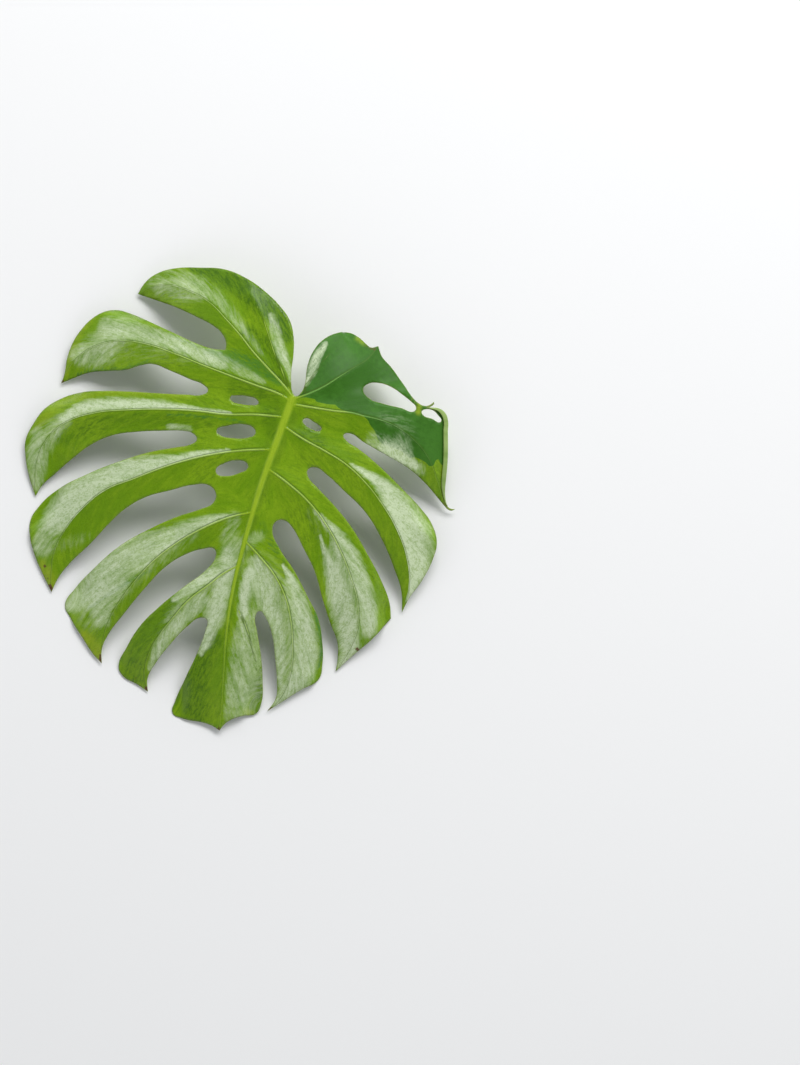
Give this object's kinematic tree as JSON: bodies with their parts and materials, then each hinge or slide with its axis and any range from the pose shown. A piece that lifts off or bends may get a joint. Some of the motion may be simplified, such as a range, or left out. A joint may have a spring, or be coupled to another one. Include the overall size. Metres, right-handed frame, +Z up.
{
  "type": "monstera leaf",
  "caption": "Single picked leaf of a Swiss cheese plant: a split, perforated, arched blade with raised veins and a cut stalk lying beneath it.",
  "frame": {"origin": "on the surface, under the middle of the leaf's box", "axes": "+Z up out of the leaf's upper face; +Y from the leaf's tip towards the notch where the stalk joins; +X towards its right lobes as seen from above"},
  "size_m": [0.6966, 0.722, 0.0902],
  "materials": {
    "leaf": "satin, waxy fresh leaf; lime green with a dark green sector, pale veins and stalk"
  },
  "bodies": {
    "root": {"monstera_leaf": "leaf"}
  },
  "joints": []
}
